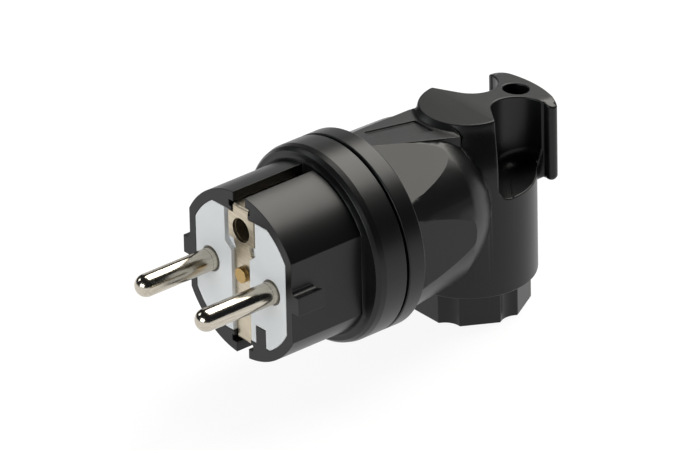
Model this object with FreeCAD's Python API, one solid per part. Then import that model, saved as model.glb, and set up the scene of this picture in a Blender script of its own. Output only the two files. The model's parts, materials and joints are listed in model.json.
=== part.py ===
"""Angled earthed mains plug: two round pins, side earth contacts, finger grip and cord gland.

Millimetres, +Z up. The pins point along -Y and the cord leaves along -Z.
The origin is the middle of the engagement face, which lies in the plane Y = 0.
"""
import FreeCAD, Part
import math
import os

V = FreeCAD.Vector
X_AXIS, Y_AXIS, Z_AXIS = V(1, 0, 0), V(0, 1, 0), V(0, 0, 1)

# Clearances
FIT = 0.05            # between parts that are pressed or slid together
PLAY = 0.2            # between parts that drop in

# Contact pins
PIN_R = 2.4
PIN_PITCH = 19.0
PIN_REACH = 19.0      # how far a pin stands out of the engagement face
PIN_TIP_STEPS = 4     # straight steps that stand for the ball end
PIN_ROOT_R = 2.62     # the thicker part that is held in the body
PIN_ROOT_START = 1.0
PIN_COLLAR_R = 3.1
PIN_COLLAR_T = 1.0
PIN_TAIL_R = 1.9
PIN_MARK_Y = -1.1     # a fine turned line near the root
PIN_MARK_W = 0.25
PIN_MARK_DEPTH = 0.1
PIN_MOUTH_R = 2.75    # hole round the pin in the pale carrier

# Terminals: a brass block, a saddle clamp and a screw behind each contact
TERMINAL_HALF_W = 3.1
TERMINAL_TOP, TERMINAL_LOW = 3.4, -8.6
TERMINAL_T = 4.0
TERMINAL_GAP = 0.95   # between a block and the wall beside it
TERMINAL_ROUND = 0.6
SADDLE_T = 1.0
SADDLE_HALF = 2.7
SADDLE_ROUND = 0.8
SCREW_Z = -5.6
SCREW_R, SCREW_HEAD_R, SCREW_HEAD_T = 1.45, 2.3, 1.8
SCREW_SLOT_W, SCREW_SLOT_DEPTH = 0.7, 0.9
PARTITION_T = 1.2
PARTITION_REACH = 8.5

# Plug body that enters the socket
BODY_WALL = 2.5
BODY_HALF_W = PIN_PITCH / 2 + TERMINAL_HALF_W + TERMINAL_GAP + BODY_WALL
BODY_FLAT_DEPTH = 2.32
BODY_R = BODY_HALF_W + BODY_FLAT_DEPTH
WEB_T = 3.0           # wall behind the carrier that holds the pins
RIB_REACH = 2.1
RIB_LOW, RIB_HIGH = -2.0, 2.0
RIB_COVE = 1.1        # hollow root above the rib
RIB_LENGTH, RIB_ROOT_LENGTH = 6.7, 5.4

# Collar: front half on the plug body, rear half on the housing
COLLAR_FACE_RISE, COLLAR_MID_RISE, COLLAR_RISE = 1.8, 2.47, 2.78   # above the plug body
COLLAR_FACE_Y, COLLAR_FACE_R = 18.4, BODY_R + COLLAR_FACE_RISE
COLLAR_MID_Y, COLLAR_MID_R = 19.2, BODY_R + COLLAR_MID_RISE
COLLAR_EDGE_Y, COLLAR_R = 20.4, BODY_R + COLLAR_RISE
COLLAR_SPLIT_Y = 25.65
GASKET_T = 0.75
GASKET_SINK = 1.1     # how far the gasket lies under the rim
COLLAR_BACK_Y = 30.8
COLLAR_BACK_ROUND = 0.5
COLLAR_ROOT_CHAMFER = 1.1
SPIGOT_SINK = 3.75
SPIGOT_R = COLLAR_R - SPIGOT_SINK   # sleeve of the plug body inside the housing
SPIGOT_LENGTH = 6.0

# Pale contact carrier in the engagement face
CARRIER_RIM, CARRIER_SIDE, CARRIER_CUT = 2.22, 2.0, 4.67   # body left round, beside and above it
CARRIER_R = BODY_R - CARRIER_RIM
CARRIER_HALF_W = BODY_HALF_W - CARRIER_SIDE
CARRIER_HALF_H = BODY_R - CARRIER_CUT
CARRIER_T = 3.0
CHANNEL_WIDE = 4.8
CHANNEL_NARROW = 2.85
CHANNEL_WIDE_LENGTH, CHANNEL_TAPER_LENGTH = 7.6, 1.5
CHANNEL_TAPER_TOP = CARRIER_HALF_H - CHANNEL_WIDE_LENGTH
CHANNEL_TAPER_LOW = CHANNEL_TAPER_TOP - CHANNEL_TAPER_LENGTH
CHANNEL_FLOOR_WIDE = 1.3
CHANNEL_FLOOR_NARROW = 1.6
KEY_HEIGHT = 4.05
KEY_LEFT, KEY_RIGHT, KEY_TOP = 4.35, 7.4, KEY_HEIGHT - CARRIER_HALF_H

# Earth contact: one bent strip, front plate and two side springs
STRIP_T = 0.8
PLATE_HALF_W = 3.9
PLATE_GAP = 0.25      # between the plate's top edge and the end of the channel
PLATE_HEIGHT = 5.95
PLATE_TOP = CARRIER_HALF_H - PLATE_GAP
PLATE_LOW = PLATE_TOP - PLATE_HEIGHT
PLATE_Y = 0.3         # front of the upper plate
LOWER_Y = 0.8         # front of the strip below the step
LOWER_HALF_W = 2.75
STEP_DROP, STEP_HEIGHT = 0.5, 1.8
STEP_TOP = PLATE_LOW - STEP_DROP
STEP_LOW = STEP_TOP - STEP_HEIGHT
NECK_HALF_W = 2.35
SIDE_SINK = 2.72
SIDE_Z = BODY_R - SIDE_SINK   # outer face of the side springs
SIDE_END_Y = 16.6
SIDE_HALF_W = 2.9
SLOT_HALF_W = 1.85
SLOT_T_HALF_W = 3.25
SLOT_UNDER, SLOT_OVER = 0.9, 0.4   # inner and outer face of the undercut, from the spring's face
SLOT_T_LOW, SLOT_T_HIGH = SIDE_Z - SLOT_UNDER, SIDE_Z + SLOT_OVER
SLOT_END_Y = 17.3

# Socket for an earth pin in the wall outlet
EARTH_HOLE_R = 2.62
EARTH_RIM = 0.73      # sheet left between the hole and the plate's top edge
EARTH_Z = PLATE_TOP - EARTH_RIM - EARTH_HOLE_R
EARTH_TUBE_R = 3.05
EARTH_TUBE_END_Y = 15.5
EARTH_SLIT = 0.6

# Rivet through the strip, the carrier, the web and the earth terminal
RIVET_HEAD_R, RIVET_HEAD_T = 1.65, 1.0
RIVET_SHANK_R = 1.2

# Two screws that hold the carrier from behind
HOLD_SCREW_INSET = 1.1
HOLD_SCREW_DROP = 5.5
HOLD_SCREW_X, HOLD_SCREW_Z = PIN_PITCH / 2 - HOLD_SCREW_INSET, CARRIER_HALF_H - HOLD_SCREW_DROP
HOLD_SCREW_R, HOLD_HEAD_R, HOLD_HEAD_T = 1.1, 2.1, 1.4
HOLD_SCREW_BITE = 1.8

# Housing barrel, round the Y axis
BARREL_SINK = 1.4     # under the collar
BARREL_TAPER = 1.6
DOME_MID_DROP, DOME_END_DROP = 2.15, 4.95
BARREL_FRONT_R = COLLAR_R - BARREL_SINK
BARREL_END_Y, BARREL_END_R = 46.4, BARREL_FRONT_R - BARREL_TAPER
DOME_MID_LENGTH, DOME_LENGTH = 4.8, 8.5
DOME_MID_Y, DOME_MID_R = BARREL_END_Y + DOME_MID_LENGTH, BARREL_END_R - DOME_MID_DROP
DOME_END_Y, DOME_END_R = BARREL_END_Y + DOME_LENGTH, BARREL_END_R - DOME_END_DROP
DOME_STEPS = 4        # straight steps that stand for the dome's curve
HOUSING_WALL = 2.2
SIDE_FLAT_DEPTH, TOP_FLAT_DEPTH = 1.75, 1.55
SIDE_FLAT_X = BARREL_FRONT_R - SIDE_FLAT_DEPTH
TOP_FLAT_ANGLE = 57.5
TOP_FLAT_DISTANCE = BARREL_FRONT_R - TOP_FLAT_DEPTH

# Bridge along the top of the barrel
BRIDGE_FRONT_HALF_W = 3.35
BRIDGE_SINK = 0.25
BRIDGE_FRONT_Z = BARREL_FRONT_R - BRIDGE_SINK
BRIDGE_SLOPE = 0.158
BRIDGE_LENGTH = 20.5
BRIDGE_END_Y = COLLAR_BACK_Y + BRIDGE_LENGTH
BRIDGE_ROOT_DROP = 0.1   # the slanted root of the bridge starts this far under the pad
BRIDGE_ROOT_SPREAD = 1.7
PANEL_HALF_W = 2.95
PANEL_FRONT_RIM, PANEL_BACK_RIM = 4.2, 2.9
PANEL_START_Y, PANEL_END_Y = COLLAR_BACK_Y + PANEL_FRONT_RIM, BRIDGE_END_Y - PANEL_BACK_RIM
PANEL_DEPTH = 0.4

# Upright barrel, round a Z axis
UPRIGHT_SET = 4.8     # from the end of the dome to the axis
UPRIGHT_Y = DOME_END_Y + UPRIGHT_SET
UPRIGHT_INSET, UPRIGHT_DROP = 3.86, 0.1
UPRIGHT_R = SIDE_FLAT_X - UPRIGHT_INSET
UPRIGHT_LOW = -BARREL_FRONT_R - UPRIGHT_DROP
SHOULDER_Z = 5.0
SHOULDER_STEPS = 6    # straight steps that stand for the shoulder's curve
PAD_INSET, PAD_DROP = 4.24, 1.53
PAD_R = UPRIGHT_R - PAD_INSET
BRIDGE_BACK_INSET = 1.95
BRIDGE_BACK_HALF_W = PAD_R - BRIDGE_BACK_INSET
PAD_Z = BRIDGE_FRONT_Z - PAD_DROP
PAD_BACK_SET = 0.9
PAD_BACK_Y = UPRIGHT_Y - PAD_BACK_SET
GRIP_SLOPE = 0.105

# Finger grip behind the upright barrel
GRIP_ARC_R = 21.5
GRIP_REACH = 18.25    # from the upright barrel's axis to the rear
GRIP_BACK_Y = UPRIGHT_Y + GRIP_REACH
GRIP_TIP_X = 8.6      # centre of each rounded tip
GRIP_TIP_R = 1.3
GRIP_NECK_STEP = 0.1  # the neck's side ends this far in front of the tip
GRIP_CROWN_X = 6.1    # outside this width the top falls towards the tips
GRIP_CROWN_R = 8.0
GRIP_BLOCK_HALF_W = 7.7
GRIP_LOW = -1.6
GRIP_LOW_CHAMFER = 0.7
SCOOP_R = 6.1
SCOOP_SET = 7.35      # from the upright barrel's axis
SCOOP_X, SCOOP_Y = 8.35, UPRIGHT_Y + SCOOP_SET
SCOOP_FRONT_ANGLE = -33.0
SCOOP_BACK_ANGLE = 0.0
SCOOP_FLOOR_Z = 1.7
SCOOP_RISE_SET = 6.8
SCOOP_RISE_Y = UPRIGHT_Y + SCOOP_RISE_SET
SCOOP_RISE_R = 9.0
SCOOP_RISE_ANGLE = 60.0
SCOOP_REACH = 14.0
SCOOP_COVE = 3.0
HANG_HOLE_SET = 13.1
HANG_HOLE_Y = UPRIGHT_Y + HANG_HOLE_SET
HANG_HOLE_R = 2.65

# Cord gland under the upright barrel
THREAD_R = 10.5
THREAD_LENGTH = 4.4
THREAD_WALL = 1.9
GLAND_BORE_R = THREAD_R - THREAD_WALL
CAGE_LENGTH = 11.0
CAGE_WALL = 1.4
CAGE_FINGERS = 8
CAGE_GAP = 0.9
CAGE_RING_H = 2.5
GROMMET_WALL = 2.5    # at the waist
GROMMET_FLARE = 0.8   # the mouths are this much wider than the waist
WASHER_T = 0.6
NUT_HEIGHT = 7.2
NUT_LOW = UPRIGHT_LOW - FIT - NUT_HEIGHT
NUT_SIDES = 6
NUT_WALL = 2.14       # from the thread to the corners
NUT_CORNER_R = THREAD_R + NUT_WALL
NUT_FLUTE_HALF_ANGLE = 10.33
NUT_FLUTE_DEPTH = 0.99
NUT_FLUTE_MID_R = NUT_CORNER_R - NUT_FLUTE_DEPTH
NUT_END_WALL = 2.0
NUT_END_RIM = 4.0     # from the thread to the mouth
NUT_MOUTH_R = THREAD_R - NUT_END_RIM


def box(x0, x1, y0, y1, z0, z1):
    """A block between two corners."""
    return Part.makeBox(x1 - x0, y1 - y0, z1 - z0, V(x0, y0, z0))


def rod_y(x, z, radius, y0, y1):
    """A round rod along Y."""
    return Part.makeCylinder(radius, y1 - y0, V(x, y0, z), Y_AXIS)


def rod_z(x, y, radius, z0, z1):
    """A round rod along Z."""
    return Part.makeCylinder(radius, z1 - z0, V(x, y, z0), Z_AXIS)


def wire(steps):
    """A closed wire: each step is a point, or a pair of points for an arc through the first to the second."""
    edges = []
    start = steps[0]
    here = start
    for step in list(steps[1:]) + [start]:
        if isinstance(step, tuple):
            middle, end = step
            edges.append(Part.Arc(here, middle, end).toShape())
        else:
            end = step
            edges.append(Part.makeLine(here, end))
        here = end
    return Part.Wire(edges)


def prism(steps, direction):
    """A solid pushed out from a closed outline."""
    return Part.Face(wire(steps)).extrude(direction)


def turned(steps, centre, axis):
    """A solid turned full circle from a closed outline."""
    return Part.Face(wire(steps)).revolve(centre, axis, 360)


def profile_y(pairs):
    """Outline points (y, r) for turning about the Y axis; a nested pair of pairs is an arc."""
    return [to_rz(p) for p in pairs]


def to_rz(pair):
    if isinstance(pair[0], tuple):
        return (V(pair[0][1], pair[0][0], 0), V(pair[1][1], pair[1][0], 0))
    return V(pair[1], pair[0], 0)


def stepped_arc(start, middle, end, steps):
    """Flat points after the start, along the arc through three points, a straight step apart."""
    arc = Part.Arc(V(*start, 0), V(*middle, 0), V(*end, 0))
    return [(p.x, p.y) for p in arc.toShape().discretize(steps + 1)[1:]]


def turned_y(pairs):
    """Turn an outline of (y, r) points about the plug's axis."""
    return turned(profile_y(pairs), V(0, 0, 0), Y_AXIS)


def mirrored(shape):
    """The same shape on the other side of the middle plane."""
    return shape.mirror(V(0, 0, 0), X_AXIS)


def clipped_disc(radius, half_w, half_h, y0, y1):
    """A disc with flats at the sides, and at top and bottom where half_h is smaller than the radius."""
    disc = rod_y(0, 0, radius, y0, y1)
    return disc.common(box(-half_w, half_w, y0, y1, -half_h, half_h))


# Shapes that several parts share

def channel(depth_wide, depth_narrow):
    """The stepped channel for the earth strip, cut from the front face."""
    wide = prism(
        [V(-CHANNEL_WIDE, 0, CARRIER_HALF_H), V(-CHANNEL_WIDE, 0, CHANNEL_TAPER_TOP),
         V(-CHANNEL_NARROW, 0, CHANNEL_TAPER_LOW), V(CHANNEL_NARROW, 0, CHANNEL_TAPER_LOW),
         V(CHANNEL_WIDE, 0, CHANNEL_TAPER_TOP), V(CHANNEL_WIDE, 0, CARRIER_HALF_H)],
        V(0, depth_wide, 0))
    narrow = box(-CHANNEL_NARROW, CHANNEL_NARROW, 0, depth_narrow, -CARRIER_HALF_H, STEP_TOP)
    return wide.fuse(narrow)


def key_block(margin):
    """The block of the plug body that keys the carrier, low on the right."""
    return box(KEY_LEFT - margin, KEY_RIGHT + margin, 0, CARRIER_T, -CARRIER_HALF_H - 1, KEY_TOP + margin)


def side_slot(sign):
    """The T-shaped slot for one side spring, open to the front and to the outside."""
    opening = box(-SLOT_HALF_W, SLOT_HALF_W, 0, SLOT_END_Y, SLOT_T_LOW, BODY_R + 1)
    undercut = box(-SLOT_T_HALF_W, SLOT_T_HALF_W, 0, SLOT_END_Y, SLOT_T_LOW, SLOT_T_HIGH)
    throat = box(-NECK_HALF_W - PLAY, NECK_HALF_W + PLAY, 0, LOWER_Y + STRIP_T + PLAY,
                 CARRIER_HALF_H - 1, SLOT_T_LOW + 1)
    slot = opening.fuse([undercut, throat])
    if sign < 0:
        slot.rotate(V(0, 0, 0), Y_AXIS, 180)
    return slot


def web_back():
    """Rear face of the web that carries the contacts."""
    return CARRIER_T + WEB_T


def terminal_back():
    return web_back() + PIN_COLLAR_T + TERMINAL_T


def bore_end():
    """Where the straight bore of the housing barrel ends."""
    return BARREL_END_Y - HOUSING_WALL


def thread_low():
    return UPRIGHT_LOW - THREAD_LENGTH


# Plug body

def rib():
    """Guide rib on the right flat, with a hollow root above it and a slanted rear end."""
    inner, outer = BODY_HALF_W - 0.5, BODY_HALF_W + RIB_REACH
    c = RIB_COVE
    dip = c * (1 - math.sqrt(0.5))
    section = prism(
        [V(inner, 0, RIB_LOW), V(outer, 0, RIB_LOW), V(outer, 0, RIB_HIGH), V(BODY_HALF_W + c, 0, RIB_HIGH),
         (V(BODY_HALF_W + dip, 0, RIB_HIGH + dip), V(BODY_HALF_W, 0, RIB_HIGH + c)), V(inner, 0, RIB_HIGH + c)],
        V(0, RIB_LENGTH, 0))
    plan = prism(
        [V(inner, 0, RIB_LOW), V(outer, 0, RIB_LOW), V(outer, RIB_LENGTH, RIB_LOW),
         V(BODY_HALF_W, RIB_ROOT_LENGTH, RIB_LOW), V(inner, RIB_ROOT_LENGTH, RIB_LOW)],
        V(0, 0, RIB_HIGH + c - RIB_LOW))
    return section.common(plan)


def body_shell():
    """Outer form of the plug body: flattened disc with a slanted root at the collar's front half."""
    nose = clipped_disc(BODY_R, BODY_HALF_W, BODY_R, 0, COLLAR_FACE_Y + 1)
    collar = turned_y([
        (COLLAR_FACE_Y, 0), (COLLAR_FACE_Y, COLLAR_FACE_R),
        (COLLAR_MID_Y, COLLAR_MID_R), (COLLAR_EDGE_Y, COLLAR_R),
        (COLLAR_SPLIT_Y, COLLAR_R), (COLLAR_SPLIT_Y, SPIGOT_R),
        (COLLAR_SPLIT_Y + SPIGOT_LENGTH, SPIGOT_R), (COLLAR_SPLIT_Y + SPIGOT_LENGTH, 0)])
    shell = nose.fuse(collar)
    root = [e for e in shell.Edges if is_collar_root(e)]
    return shell.makeChamfer(COLLAR_ROOT_CHAMFER, root)


def is_collar_root(edge):
    """Edges where the plug body meets the front face of the collar."""
    box_ = edge.BoundBox
    flat = abs(box_.YMin - COLLAR_FACE_Y) < 0.01 and abs(box_.YMax - COLLAR_FACE_Y) < 0.01
    middle = edge.valueAt((edge.FirstParameter + edge.LastParameter) / 2)
    return flat and math.hypot(middle.x, middle.z) < BODY_R + 0.1


def body_hollow():
    """Space behind the web, open to the rear."""
    height = SLOT_T_LOW - 1.5
    radius = BODY_R - BODY_WALL
    return clipped_disc(radius, BODY_HALF_W - BODY_WALL, height,
                        web_back(), COLLAR_SPLIT_Y + SPIGOT_LENGTH)


def partitions():
    """Insulating walls between the three terminals."""
    middle = PIN_PITCH / 4
    walls = []
    for x in (-middle, middle):
        walls.append(box(x - PARTITION_T / 2, x + PARTITION_T / 2, web_back() - 0.5,
                         web_back() + PARTITION_REACH, TERMINAL_LOW - 2, TERMINAL_TOP + 1))
    return walls


def make_front_body():
    shell = body_shell()
    right = rib()
    shell = shell.fuse([right, mirrored(right)])
    pocket = clipped_disc(CARRIER_R + FIT, CARRIER_HALF_W + FIT, CARRIER_HALF_H + FIT, 0, CARRIER_T)
    pocket = pocket.cut(key_block(0))
    bores = [rod_y(s * PIN_PITCH / 2, 0, PIN_ROOT_R + FIT, 0, web_back() + 1) for s in (-1, 1)]
    bores.append(rod_y(0, EARTH_Z, EARTH_TUBE_R + FIT, 0, web_back() + 1))
    bores.append(rod_y(0, 0, RIVET_SHANK_R + FIT, 0, web_back() + 1))
    bores += [rod_y(s * HOLD_SCREW_X, HOLD_SCREW_Z, HOLD_SCREW_R + FIT, 0, web_back() + 1) for s in (-1, 1)]
    shell = shell.cut([pocket, body_hollow(), side_slot(1), side_slot(-1)] + bores)
    return shell.fuse(partitions()).removeSplitter()


def make_contact_carrier():
    plate = clipped_disc(CARRIER_R, CARRIER_HALF_W, CARRIER_HALF_H, 0, CARRIER_T)
    cuts = [channel(CHANNEL_FLOOR_WIDE, CHANNEL_FLOOR_NARROW), key_block(FIT)]
    for s in (-1, 1):
        x = s * PIN_PITCH / 2
        cuts.append(rod_y(x, 0, PIN_MOUTH_R, 0, PIN_ROOT_START + FIT))
        cuts.append(rod_y(x, 0, PIN_ROOT_R + FIT, 0, CARRIER_T))
        cuts.append(rod_y(s * HOLD_SCREW_X, HOLD_SCREW_Z, HOLD_SCREW_R, CARRIER_T - HOLD_SCREW_BITE, CARRIER_T))
    cuts.append(rod_y(0, EARTH_Z, EARTH_TUBE_R + FIT, 0, CARRIER_T))
    cuts.append(rod_y(0, 0, RIVET_SHANK_R + FIT, 0, CARRIER_T))
    return plate.cut(cuts)


# Contacts

def make_pin(sign):
    """A round contact pin: ball end, exposed length, thicker root, collar and riveted tail."""
    tip = -PIN_REACH
    mark = PIN_R - PIN_MARK_DEPTH
    shoulder = tip + PIN_R
    bulge = PIN_R * math.sqrt(0.5)
    collar_y = web_back()
    tail_y = collar_y + PIN_COLLAR_T
    pin = turned_y([
        (tip, 0), *stepped_arc((tip, 0), (shoulder - bulge, bulge), (shoulder, PIN_R), PIN_TIP_STEPS),
        (PIN_MARK_Y - PIN_MARK_W, PIN_R), (PIN_MARK_Y - PIN_MARK_W, mark), (PIN_MARK_Y, mark), (PIN_MARK_Y, PIN_R),
        (PIN_ROOT_START, PIN_R), (PIN_ROOT_START, PIN_ROOT_R), (collar_y, PIN_ROOT_R),
        (collar_y, PIN_COLLAR_R), (tail_y, PIN_COLLAR_R), (tail_y, PIN_TAIL_R),
        (tail_y + TERMINAL_T, PIN_TAIL_R), (tail_y + TERMINAL_T, 0)])
    pin.translate(V(sign * PIN_PITCH / 2, 0, 0))
    return pin


def strip_outline():
    """Side view of the bent strip (y, z), from the top spring over the front to the bottom spring."""
    t = STRIP_T
    front = [
        (SIDE_END_Y, SIDE_Z), (PLATE_Y + t, SIDE_Z), (PLATE_Y, SIDE_Z - t),
        (PLATE_Y, STEP_TOP), (LOWER_Y, STEP_LOW), (LOWER_Y, -SIDE_Z + t), (LOWER_Y + t, -SIDE_Z),
        (SIDE_END_Y, -SIDE_Z)]
    back = [
        (SIDE_END_Y, -SIDE_Z + t), (LOWER_Y + t, -SIDE_Z + t), (LOWER_Y + t, STEP_LOW),
        (PLATE_Y + t, STEP_TOP), (PLATE_Y + t, SIDE_Z - t), (SIDE_END_Y, SIDE_Z - t)]
    return [V(0, y, z) for y, z in front + back]


def strip_bends(steps):
    """The same outline with round outer bends at the top and at the bottom."""
    bend = STRIP_T * (1 - math.sqrt(0.5))
    top = (V(0, PLATE_Y + bend, SIDE_Z - bend), steps[2])
    low = (V(0, LOWER_Y + bend, -SIDE_Z + bend), steps[6])
    return steps[:2] + [top] + steps[3:6] + [low] + steps[7:]


def make_earth_strip():
    """One strip of sheet: wide plate with the socket hole, narrow lower part, two side springs."""
    reach = SIDE_Z + 1
    band = prism(strip_bends(strip_outline()), V(2 * PLATE_HALF_W, 0, 0))
    band.translate(V(-PLATE_HALF_W, 0, 0))
    end = SIDE_END_Y + 1
    plate = box(-PLATE_HALF_W, PLATE_HALF_W, 0, end, PLATE_LOW, PLATE_TOP)
    neck = box(-NECK_HALF_W, NECK_HALF_W, 0, end, -reach, reach)
    lower = box(-LOWER_HALF_W, LOWER_HALF_W, 0, LOWER_Y + STRIP_T, -CARRIER_HALF_H + PLAY, STEP_LOW - PLAY)
    springs = []
    for s in (-1, 1):
        low, high = sorted((s * (SIDE_Z - STRIP_T), s * SIDE_Z))
        springs.append(box(-SIDE_HALF_W, SIDE_HALF_W, LOWER_Y + 2 * STRIP_T, end, low, high))
    face = plate.fuse([neck, lower] + springs)
    hole = rod_y(0, EARTH_Z, EARTH_HOLE_R, 0, 2 * STRIP_T)
    rivet = rod_y(0, 0, RIVET_SHANK_R + FIT, 0, 3 * STRIP_T)
    return band.common(face).cut([hole, rivet])


def make_earth_socket():
    """Rolled tube behind the plate, with a slit so that it springs on the outlet's earth pin."""
    start = PLATE_Y + STRIP_T
    tube = rod_y(0, EARTH_Z, EARTH_TUBE_R, start, EARTH_TUBE_END_Y)
    bore = rod_y(0, EARTH_Z, EARTH_HOLE_R - FIT, start, EARTH_TUBE_END_Y)
    slit = box(-EARTH_SLIT / 2, EARTH_SLIT / 2, web_back() + EARTH_SLIT, EARTH_TUBE_END_Y,
               EARTH_Z - EARTH_TUBE_R - 1, EARTH_Z)
    return tube.cut([bore, slit])


def make_centre_rivet():
    head_start = LOWER_Y - RIVET_HEAD_T
    head = rod_y(0, 0, RIVET_HEAD_R, head_start, LOWER_Y)
    shank = rod_y(0, 0, RIVET_SHANK_R, LOWER_Y, terminal_back() - PIN_COLLAR_T)
    return head.fuse(shank)


# Terminals

def terminal_block(x, front, tail_r):
    """A brass block with the hole for its contact's tail and the tapped hole for its screw."""
    back = front + TERMINAL_T
    block = box(x - TERMINAL_HALF_W, x + TERMINAL_HALF_W, front, back, TERMINAL_LOW, TERMINAL_TOP)
    upright = [e for e in block.Edges if abs(e.BoundBox.YLength - TERMINAL_T) < 0.01]
    block = block.makeFillet(TERMINAL_ROUND, upright)
    tail = rod_y(x, 0, tail_r + FIT, front, back)
    tapped = rod_y(x, SCREW_Z, SCREW_R, front, back)
    return block.cut([tail, tapped])


def saddle(x, front):
    """A square washer with turned-down corners under the screw's head."""
    plate = box(x - SADDLE_HALF, x + SADDLE_HALF, front, front + SADDLE_T,
                SCREW_Z - SADDLE_HALF, SCREW_Z + SADDLE_HALF)
    corners = [e for e in plate.Edges if abs(e.BoundBox.YLength - SADDLE_T) < 0.01]
    plate = plate.makeFillet(SADDLE_ROUND, corners)
    return plate.cut(rod_y(x, SCREW_Z, SCREW_R + PLAY, front, front + SADDLE_T))


def slotted_screw(x, z, seat, shank_r, shank_length, head_r, head_t):
    """A cheese-head screw: head behind its seat, shank towards the front."""
    head = rod_y(x, z, head_r, seat, seat + head_t)
    slot = box(x - head_r, x + head_r, seat + head_t - SCREW_SLOT_DEPTH, seat + head_t,
               z - SCREW_SLOT_W / 2, z + SCREW_SLOT_W / 2)
    shank = rod_y(x, z, shank_r, seat - shank_length, seat)
    return head.cut(slot).fuse(shank)


def terminal_set(suffix, x, front, tail_r):
    """Block, saddle and screw of one terminal, as named parts."""
    back = front + TERMINAL_T
    screw = slotted_screw(x, SCREW_Z, back + SADDLE_T, SCREW_R, SADDLE_T + TERMINAL_T,
                          SCREW_HEAD_R, SCREW_HEAD_T)
    return {
        "terminal_" + suffix: terminal_block(x, front, tail_r),
        "saddle_clamp_" + suffix: saddle(x, back),
        "terminal_screw_" + suffix: screw,
    }


def make_hold_screw(sign):
    return slotted_screw(sign * HOLD_SCREW_X, HOLD_SCREW_Z, web_back(), HOLD_SCREW_R,
                         WEB_T + HOLD_SCREW_BITE, HOLD_HEAD_R, HOLD_HEAD_T)


def make_collar_gasket():
    rim = COLLAR_R - GASKET_SINK
    return turned_y([
        (COLLAR_SPLIT_Y, SPIGOT_R + FIT), (COLLAR_SPLIT_Y, rim),
        (COLLAR_SPLIT_Y + GASKET_T, rim), (COLLAR_SPLIT_Y + GASKET_T, SPIGOT_R + FIT)])


# Housing

def barrel():
    """Rear half of the collar, the slightly tapered barrel and its domed end."""
    start = COLLAR_SPLIT_Y + GASKET_T
    lip = COLLAR_BACK_ROUND
    turn = lip * math.sqrt(0.5)
    return turned_y([
        (start, 0), (start, COLLAR_R), (COLLAR_BACK_Y - lip, COLLAR_R),
        (COLLAR_BACK_Y - lip + turn, COLLAR_R - lip + turn), (COLLAR_BACK_Y, COLLAR_R - lip),
        (COLLAR_BACK_Y, BARREL_FRONT_R), (BARREL_END_Y, BARREL_END_R),
        *stepped_arc((BARREL_END_Y, BARREL_END_R), (DOME_MID_Y, DOME_MID_R), (DOME_END_Y, DOME_END_R), DOME_STEPS),
        (UPRIGHT_Y, DOME_END_R - 4), (UPRIGHT_Y, 0)])


def flat_cutter(angle, distance):
    """Everything outside a plane that runs along the barrel, behind the collar."""
    cutter = box(distance, distance + COLLAR_R, COLLAR_BACK_Y, DOME_END_Y, -COLLAR_R, COLLAR_R)
    cutter.rotate(V(0, 0, 0), Y_AXIS, -angle)
    return cutter


def bridge_top(y):
    return BRIDGE_FRONT_Z - BRIDGE_SLOPE * (y - COLLAR_BACK_Y)


def bridge_plan():
    """The bridge seen from above, pushed up to its full height."""
    y0, y1 = COLLAR_BACK_Y, BRIDGE_END_Y
    w0, w1 = BRIDGE_FRONT_HALF_W, BRIDGE_BACK_HALF_W
    low = DOME_END_R
    return prism([V(-w0, y0, low), V(w0, y0, low), V(w1, y1, low), V(-w1, y1, low)], V(0, 0, BRIDGE_FRONT_Z - low))


def bridge():
    """Sloping block along the top that widens towards the upright barrel."""
    y0, y1, w, low = COLLAR_BACK_Y, BRIDGE_END_Y, BRIDGE_BACK_HALF_W, DOME_END_R
    side = prism([V(-w, y0, low), V(-w, y0, bridge_top(y0)), V(-w, y1, bridge_top(y1)), V(-w, y1, low)],
                 V(2 * w, 0, 0))
    return bridge_plan().common(side)


def bridge_root():
    """Slanted corner where the bridge runs into the shoulder of the upright barrel."""
    y, foot, top = UPRIGHT_Y, PAD_R + BRIDGE_ROOT_SPREAD, PAD_Z - BRIDGE_ROOT_DROP
    skirt = turned([V(0, y, DOME_END_R), V(foot, y, DOME_END_R), V(foot, y, top - BRIDGE_ROOT_SPREAD),
                    V(PAD_R, y, top), V(0, y, top)], V(0, y, 0), Z_AXIS)
    return skirt.common(bridge_plan())


def above_bridge():
    """Everything above the bridge's sloping top, in front of the upright barrel."""
    y0, y1, w = COLLAR_BACK_Y, BRIDGE_END_Y, BRIDGE_BACK_HALF_W
    return prism([V(-w, y0, bridge_top(y0)), V(-w, y1, bridge_top(y1)), V(-w, y1, COLLAR_R), V(-w, y0, COLLAR_R)],
                 V(2 * w, 0, 0))


def bridge_panel():
    """Shallow rectangular recess in the top of the bridge."""
    y0, y1, w = PANEL_START_Y, PANEL_END_Y, PANEL_HALF_W
    top = 3.0
    return prism([V(-w, y0, bridge_top(y0) - PANEL_DEPTH), V(-w, y1, bridge_top(y1) - PANEL_DEPTH),
                  V(-w, y1, bridge_top(y1) + top), V(-w, y0, bridge_top(y0) + top)], V(2 * w, 0, 0))


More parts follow.
